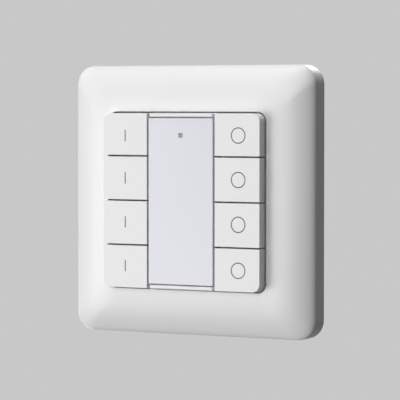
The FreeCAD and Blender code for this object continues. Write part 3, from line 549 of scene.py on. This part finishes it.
def buildCoverFrame(shape):
    objectMode()
    profile = frameProfile(shape)
    bpy.ops.mesh.primitive_plane_add(size=2 * shape["half"] * mm, rotation=(math.pi / 2, 0, 0))
    bpy.ops.object.transform_apply(location=True, rotation=True, scale=True)
    piece = bpy.context.object
    bpy.ops.object.mode_set(mode="EDIT")
    pick("verts", lambda vertex: True)
    bpy.ops.mesh.bevel(offset=shape["corner"] * mm, segments=shape["cornerSegments"], affect="VERTICES")
    pick("faces", lambda face: True)
    first = profile[0][0]
    factor = first / shape["half"]
    bpy.ops.transform.resize(value=(factor, 1, factor), center_override=(0, 0, 0))
    state = {"half": first, "height": 0}
    for half, height in profile[1:]:
        moveLoop(half, height, state)
    # flat lip, its small edge, then down the inside to the ledge
    bpy.ops.mesh.inset(thickness=(shape["lip"] - shape["lipEdge"]) * mm, depth=0)
    bpy.ops.transform.resize(value=shape["openingStretch"], center_override=(0, 0, 0))
    bpy.ops.transform.translate(value=(0, 0, -shape["openingDrop"] * mm))
    roundInward(shape["lipEdge"], shape["lipEdgeSteps"])
    state["height"] = shape["height"] - shape["lipEdge"]
    state["half"] = shape["lipHalf"] - shape["lip"]
    moveLoop(state["half"], shape["ledgeHeight"], state)
    bpy.ops.mesh.inset(thickness=shape["ledgeWidth"] * mm, depth=0)
    state["half"] -= shape["ledgeWidth"]
    moveLoop(state["half"], shape["ledgeRear"], state)
    bpy.ops.mesh.delete(type="ONLY_FACE")
    # the first face stayed behind as a lid on the rear rim
    pick("faces", lambda face: len(face.verts) > 2 * shape["cornerSegments"])
    bpy.ops.mesh.delete(type="ONLY_FACE")
    pick("edges", lambda edge: edge.is_boundary and edgeAtHeight(shape["ledgeRear"])(edge))
    # back along the hidden side: ledge, collar, underside of the dome, side wall
    collarHalf = shape["lipHalf"] - shape["lip"] + shape["collar"]
    moveLoop(collarHalf, shape["ledgeRear"], state)
    moveLoop(collarHalf, shape["height"] - shape["wall"], state)
    for share in shape["wallSteps"]:
        half, height = domePoint(shape, share, shape["wall"])
        moveLoop(half, height, state)
    moveLoop(shape["half"] - shape["wall"], 0, state)
    pick("edges", lambda edge: edge.is_boundary)
    bpy.ops.mesh.bridge_edge_loops()
    normalsOutward()
    bpy.ops.object.mode_set(mode="OBJECT")
    return piece


def buildRibs(shape):
    # one rib with its top cut back under the dome, then a copy for each place and side
    objectMode()
    rib = addBlock(shape["ribInner"], shape["ribOuter"], -shape["ribThickness"] / 2,
                   shape["ribThickness"] / 2, shape["ribRear"], shape["ribTop"])
    bpy.ops.object.mode_set(mode="EDIT")
    bpy.ops.mesh.select_all(action="SELECT")
    bpy.ops.mesh.bisect(plane_co=Vector(shape["ribCutAt"]) * mm, plane_no=shape["ribCutFacing"],
                        clear_outer=True, use_fill=True)
    bpy.ops.object.mode_set(mode="OBJECT")
    useModifier(rib, "BEVEL", {
        "width": shape["ribEdge"] * mm, "segments": shape["ribEdgeSegments"], "limit_method": "ANGLE"})
    copies = []
    for quarter in range(4):
        for place in shape["ribs"]:
            twin = copyOf(rib)
            twin.location = (0, 0, place * mm)
            applyPlace(twin)
            twin.rotation_euler = (0, quarter * math.pi / 2, 0)
            applyPlace(twin)
            copies.append(twin)
    bpy.data.objects.remove(rib)
    return copies


frameShell = buildCoverFrame(coverFrame)
frameRibs = buildRibs(coverFrame)
makeActive(frameShell)
for rib in frameRibs:
    rib.select_set(True)
bpy.ops.object.join()
settle(frameShell, "coverFrameShell", "panel", "frame_white", ["cover_frame"], coverFrame["smoothAngle"])
print("cover frame:", len(frameShell.data.polygons), "faces")


keyShape = {
    "inner": 11.96,
    "outer": 27.53,
    "rows": {"1": (14.2, 27.37), "2": (0.24, 13.71)},  # from bottom to top, in the right column
    "columns": {"on": -1, "off": 1},  # the left column's keys are mirrored sideways
    # each row's source row and which way up it stands
    "copies": {"1": ("1", 1), "2": ("2", 1), "3": ("2", -1), "4": ("1", -1)},
    "skirt": 9.6,
    "front": 14.98,
    "insertCorner": 2.6,
    "cornerSegments": 14,
    "edge": 0.13,
    "edgeSegments": 4,
    "wall": 1.3,
    "face": 1.5,
    "innerRib": 1.0,
    "innerRibEnd": 11.3,
    "bossWidth": 3.4,
    "bossEnd": 7.7,
    "legOffset": 4.6,
    "legThickness": 1.2,
    "legWidth": 4,
    "legEnd": 6.25,
    "hookFront": 7.25,
    "hookReach": 0.6,
    "hookSlant": 0.5,
    # where the outer sides of the insert depart from even: axis, from where on, and how far
    "sideShifts": ((0, -25, -0.2), (2, 25, -0.07), (2, -25, -0.05)),
    "smoothAngle": 40,
}


def addLeg(shape, middleX, middleZ, way, inside):
    # a snap leg in edit mode: its inner side is pulled out into a hook, whose tip is cut at a slant
    inner = shape["legOffset"] - shape["legThickness"] / 2
    sides = sorted(middleX + way * reach for reach in (inner, inner + shape["legThickness"]))
    halfWidth = shape["legWidth"] / 2
    addBlock(*sides, middleZ - halfWidth, middleZ + halfWidth, shape["legEnd"], inside)
    bpy.ops.mesh.bisect(plane_co=(0, -shape["hookFront"] * mm, 0), plane_no=(0, 1, 0))
    root, facesInward = (middleX + way * inner) * mm, faceOnto((-way, 0, 0))

    def isHookRoot(face):
        place = face.calc_center_median()
        atRoot = abs(place.x - root) < placeReach and -place.y < shape["hookFront"] * mm
        return atRoot and facesInward(face)

    pick("faces", isHookRoot)
    reach = -way * shape["hookReach"] * mm
    bpy.ops.mesh.extrude_region_move(TRANSFORM_OT_translate={"value": (reach, 0, 0)})
    tip = Vector((root + reach, -shape["legEnd"] * mm))
    roundEdges(lambda edge: all((vertex.co.xy - tip).length < placeReach for vertex in edge.verts),
               shape["hookSlant"], 1)


def shiftSide(axis, start, shift, above=0):
    # in edit mode: moves what lies further out than the start, and higher over the wall than the limit
    def isBeyond(vertex):
        return (vertex.co[axis] - start * mm) * start > 0 and -vertex.co.y > above * mm

    pick("verts", isBeyond)
    bpy.ops.transform.translate(value=[shift * mm if axis == side else 0 for side in range(3)])


def buildKey(shape, row):
    # key of the right column: cap with its hollow, then the ribs, boss and legs behind it
    bottom, top = shape["rows"][row]
    objectMode()
    key = addBlock(shape["inner"], shape["outer"], bottom, top, shape["skirt"], shape["front"])
    bpy.ops.object.mode_set(mode="EDIT")
    isUpright, atFront = edgeAlong(1), edgeAtHeight(shape["front"])
    corner = Vector((shape["outer"], 0, top)) * mm

    def fromCorner(edge):
        middle = (edge.verts[0].co + edge.verts[1].co) / 2
        return math.hypot(middle.x - corner.x, middle.z - corner.z)

    rounded = 0
    if row == "1":  # the key in the insert's corner
        roundEdges(lambda edge: isUpright(edge) and fromCorner(edge) < placeReach, shape["insertCorner"],
                   shape["cornerSegments"])
        rounded = 2 * shape["insertCorner"] * mm
    # the square corners and the edges round the front, all in one
    roundEdges(lambda edge: atFront(edge) or (isUpright(edge) and fromCorner(edge) >= rounded),
               shape["edge"], shape["edgeSegments"])
    pick("faces", faceOnto((0, 1, 0)))
    bpy.ops.mesh.inset(thickness=shape["wall"] * mm, depth=0)
    depth = (shape["front"] - shape["face"] - shape["skirt"]) * mm
    bpy.ops.mesh.extrude_region_move(TRANSFORM_OT_translate={"value": (0, -depth, 0)})
    middleX, middleZ = (shape["inner"] + shape["outer"]) / 2, (bottom + top) / 2
    reachX, reachZ = middleX - shape["inner"] - shape["wall"] / 2, middleZ - bottom - shape["wall"] / 2
    inside = shape["front"] - shape["face"] / 2
    thin, boss = shape["innerRib"] / 2, shape["bossWidth"] / 2
    ribEnd, bossEnd = shape["innerRibEnd"], shape["bossEnd"]
    for across, upright, end in ((reachX, thin, ribEnd), (thin, reachZ, ribEnd),
                                 (boss, thin, bossEnd), (thin, boss, bossEnd)):
        addBlock(middleX - across, middleX + across, middleZ - upright, middleZ + upright, end, inside)
    for way in (-1, 1):
        addLeg(shape, middleX, middleZ, way, inside)
    bpy.ops.object.mode_set(mode="OBJECT")
    return key


keySources = {row: buildKey(keyShape, row) for row in keyShape["rows"]}
for column, sideways in keyShape["columns"].items():
    for row, (source, upwards) in keyShape["copies"].items():
        cap = copyOf(keySources[source])
        mirrorPiece(cap, (sideways, 1, upwards))
        bpy.ops.object.mode_set(mode="EDIT")
        for axis, start, shift in keyShape["sideShifts"]:
            shiftSide(axis, start, shift)
        bpy.ops.object.mode_set(mode="OBJECT")
        tag = f"{column}_{row}"
        settle(cap, "keyCap_" + tag, "key_" + tag, "key_white", ["button_" + tag],
               keyShape["smoothAngle"])
for source in keySources.values():
    bpy.data.objects.remove(source)
print("keys: 8 caps")


marks = {
    "back": 14.9,
    "front": 15.0,
    "ringRadius": 2.36,
    "ringLine": 0.315,
    "ringPoints": 72,
    "ringAcross": 20.17,
    "ringLevels": (20.55, 6.95, -6.79, -20.88),
    "barAcross": -19.78,
    "barLength": 3.55,
    "barWidth": 0.335,
    "barCorner": 0.05,
    "barCornerSegments": 3,
    "barLevels": (20.27, 7.0, -6.8, -20.55),
}


def buildRing(shape):
    objectMode()
    bpy.ops.mesh.primitive_circle_add(
        vertices=shape["ringPoints"], radius=(shape["ringRadius"] + shape["ringLine"] / 2) * mm,
        fill_type="NGON", rotation=(math.pi / 2, 0, 0))
    ring = bpy.context.object
    applyPlace(ring)
    bpy.ops.object.mode_set(mode="EDIT")
    pick("faces", lambda face: True)
    bpy.ops.mesh.inset(thickness=shape["ringLine"] * mm, depth=0)
    bpy.ops.mesh.delete(type="FACE")
    pick("faces", lambda face: True)
    thickness = (shape["front"] - shape["back"]) * mm
    bpy.ops.mesh.extrude_region_move(TRANSFORM_OT_translate={"value": (0, -thickness, 0)})
    bpy.ops.mesh.select_all(action="SELECT")
    bpy.ops.transform.translate(value=(0, -shape["back"] * mm, 0))
    normalsOutward()
    bpy.ops.object.mode_set(mode="OBJECT")
    return ring


def buildBar(shape):
    objectMode()
    half, end = shape["barWidth"] / 2, shape["barLength"] / 2
    bar = addBlock(-half, half, -end, end, shape["back"], shape["front"])
    bpy.ops.object.mode_set(mode="EDIT")
    roundEdges(edgeAlong(1), shape["barCorner"], shape["barCornerSegments"])
    bpy.ops.object.mode_set(mode="OBJECT")
    return bar


def placeMarks(source, column, across, levels):
    for row, level in enumerate(levels, start=1):
        mark = copyOf(source)
        mark.location = Vector((across, 0, level)) * mm
        applyPlace(mark)
        settle(mark, f"mark_{column}_{row}", f"key_{column}_{row}", "dot_grey", finish=markInk)
    bpy.data.objects.remove(source)


placeMarks(buildRing(marks), "off", marks["ringAcross"], marks["ringLevels"])
placeMarks(buildBar(marks), "on", marks["barAcross"], marks["barLevels"])
print("marks: 8")


statusDot = {"across": -0.07, "level": 20.49, "holeHalf": 0.7}


def addSquareBar(dot, half, rear, front):
    # block behind the status dot, or through it
    across, level = dot["across"], dot["level"]
    return addBlock(across - half, across + half, level - half, level + half, rear, front)


labelWindow = {
    "left": -11.49,
    "right": 11.25,
    "bottom": -25.95,
    "top": 25.78,
    "front": 14.8,
    "thickness": 1.5,
    "room": 10.34,
    "skirtEnd": 10,
    "edge": 0.13,
    "edgeSegments": 4,
}


def buildWindow(shape, dot):
    objectMode()
    bottom, top, front, skirtEnd = shape["bottom"], shape["top"], shape["front"], shape["skirtEnd"]
    pane = addBlock(shape["left"], shape["right"], bottom, top, skirtEnd, front)
    bpy.ops.object.mode_set(mode="EDIT")
    atFront, isUpright = edgeAtHeight(front), edgeAlong(1)
    roundEdges(lambda edge: atFront(edge) or isUpright(edge), shape["edge"], shape["edgeSegments"])
    bpy.ops.object.mode_set(mode="OBJECT")
    # the channel that fits over the bed, and the hole for the status lamp
    channel = addBlock(-shape["room"], shape["room"], bottom - cutReach, top + cutReach,
                       skirtEnd - cutReach, front - shape["thickness"])
    hole = addSquareBar(dot, dot["holeHalf"], skirtEnd, front + cutReach)
    cutWith(pane, [channel, hole])
    return pane


settle(buildWindow(labelWindow, statusDot), "labelPane", "panel", "window_clear", ["label_window"])

lampTip = {
    "half": 0.64,
    "front": 14.74,
    "rear": 5.4,
    "edge": 0.12,
    "edgeSegments": 3,
    "collarHalf": 1.2,
    "collarRear": 10.6,
    "collarFront": 11.6,
}


def buildLampTip(shape, dot):
    # square light guide with the collar that holds it under the bed
    objectMode()
    tip = addSquareBar(dot, shape["half"], shape["rear"], shape["front"])
    bpy.ops.object.mode_set(mode="EDIT")
    addSquareBar(dot, shape["collarHalf"], shape["collarRear"], shape["collarFront"])
    atFront, isUpright = edgeAtHeight(shape["front"]), edgeAlong(1)
    roundEdges(lambda edge: atFront(edge) or isUpright(edge), shape["edge"], shape["edgeSegments"])
    bpy.ops.object.mode_set(mode="OBJECT")
    return tip


settle(buildLampTip(lampTip, statusDot), "statusLampTip", "panel", "dot_grey", ["indicator_lens"])
print("window and status lamp: 2")


# rigid pieces that keep their solid's shape: the new piece's name and the size of its rounded edges
softened = {
    "key_carrier": ("keyCarrier", 0.12),
    "mounting_plate": ("mountingPlate", 0.1),
    "housing_lid": ("housingLid", 0.15),
    "rear_housing": ("rearHousing", 0.3),
    "terminal_red": ("terminalRed", 0.12),
    "terminal_black": ("terminalBlack", 0.12),
}
softening = {"segments": 2, "fromAngle": 50, "flatAngle": 0.5, "smoothAngle": 40}

# the thin rails over and under the window lie a little lower than even, the upper one's top edge most
rails = {"above": 9, "sideShifts": ((2, 26.1, -0.14), (2, 27, -0.08), (2, -27.2, -0.07))}

housingBack = {
    "level": 21,
    "fieldHalf": 12,
    "fieldBottom": 4,
    "fieldTop": 15,
    "fieldCorner": 1.2,
    "fieldCornerSegments": 6,
    "fieldDepth": 0.3,
    "pinPoints": 48,
    "pinRadius": 1.7,
    "pinDepth": 0.15,
    "pinPlaces": ((-16.5, 16.5), (16.5, 16.5), (-16.5, -16.5), (16.5, -16.5)),
}


def softenedCopy(node, edge):
    # a solid's own shape with its triangles joined into faces and its sharp edges rounded
    piece = bpy.data.objects.new(node + "_soft", frame["nodes"][node].data.copy())
    bpy.context.collection.objects.link(piece)
    makeActive(piece)
    bpy.ops.object.mode_set(mode="EDIT")
    bpy.ops.mesh.select_all(action="SELECT")
    bpy.ops.mesh.remove_doubles(threshold=mergeReach)
    bpy.ops.mesh.dissolve_limited(angle_limit=math.radians(softening["flatAngle"]))
    if node == "key_carrier":
        for axis, start, shift in rails["sideShifts"]:
            shiftSide(axis, start, shift, rails["above"])
    bpy.ops.object.mode_set(mode="OBJECT")
    useModifier(piece, "BEVEL", {
        "width": edge * mm, "segments": softening["segments"], "limit_method": "ANGLE",
        "angle_limit": math.radians(softening["fromAngle"])})
    return piece


def markHousingBack(housing, shape):
    # a shallow blank field and the round marks that a mould's ejector pins leave
    objectMode()
    half, back = shape["fieldHalf"], -shape["level"]
    field = addBlock(-half, half, shape["fieldBottom"], shape["fieldTop"], back - cutReach,
                     back + shape["fieldDepth"])
    bpy.ops.object.mode_set(mode="EDIT")
    roundEdges(edgeAlong(1), shape["fieldCorner"], shape["fieldCornerSegments"])
    bpy.ops.object.mode_set(mode="OBJECT")
    cutters = [field]
    for across, level in shape["pinPlaces"]:
        bpy.ops.mesh.primitive_cylinder_add(
            vertices=shape["pinPoints"], radius=shape["pinRadius"] * mm, depth=2 * shape["pinDepth"] * mm,
            location=Vector((across, shape["level"], level)) * mm, rotation=(math.pi / 2, 0, 0))
        cutters.append(bpy.context.object)
    cutWith(housing, cutters)


for node, (name, edge) in softened.items():
    piece = softenedCopy(node, edge)
    if node == "rear_housing":
        markHousingBack(piece, housingBack)
    settle(piece, name, "panel", slotOf[node], [node], softening["smoothAngle"])
print("softened copies:", len(softened))


def seenRays(maker):
    # 1 for what the camera sees, also in a reflection or through glass
    rays = [maker.node("ShaderNodeLightPath", {}, {}, f"Is {kind} Ray")
            for kind in ("Camera", "Glossy", "Transmission")]
    return rays[0].reckon("MAXIMUM", rays[1]).reckon("MAXIMUM", rays[2])


def addStage(setup):
    objectMode()
    bpy.ops.mesh.primitive_plane_add(size=setup["floorSize"], location=(0, 0, setup["floorLevel"]))
    floor = bpy.context.object
    floor.name = "floor"
    floorFinish = mouldedPlastic("floorPale", setup["floorFinish"])
    glow = (setup["floorGlow"],) * 3 + (1,)
    floorFinish.feed("Emission Color", floorFinish.mixed(seenRays(floorFinish), (0, 0, 0, 1), glow))
    floorFinish.shader.inputs["Emission Strength"].default_value = 1
    floor.data.materials.append(floorFinish.material)
    world = bpy.data.worlds.new("studio")
    world.use_nodes = True
    world.node_tree.nodes.clear()
    bpy.context.scene.world = world
    sky = NodeMaker(world.node_tree)
    ambient, backdrop = (
        sky.node("ShaderNodeBackground", {}, {"Color": (1, 1, 1, 1), "Strength": setup[name]})
        for name in ("ambient", "backdrop"))
    shown = sky.node("ShaderNodeMixShader", {}, {0: seenRays(sky), 1: ambient, 2: backdrop})
    sky.node("ShaderNodeOutputWorld", {}, {"Surface": shown})


addStage(studio)
addCamera(cameraSetup)
for lampName, spec in lamps.items():
    addLamp(lampName, spec, studio["lampDistance"])
bpy.context.scene.view_settings.view_transform = "Standard"
print("stage ready")
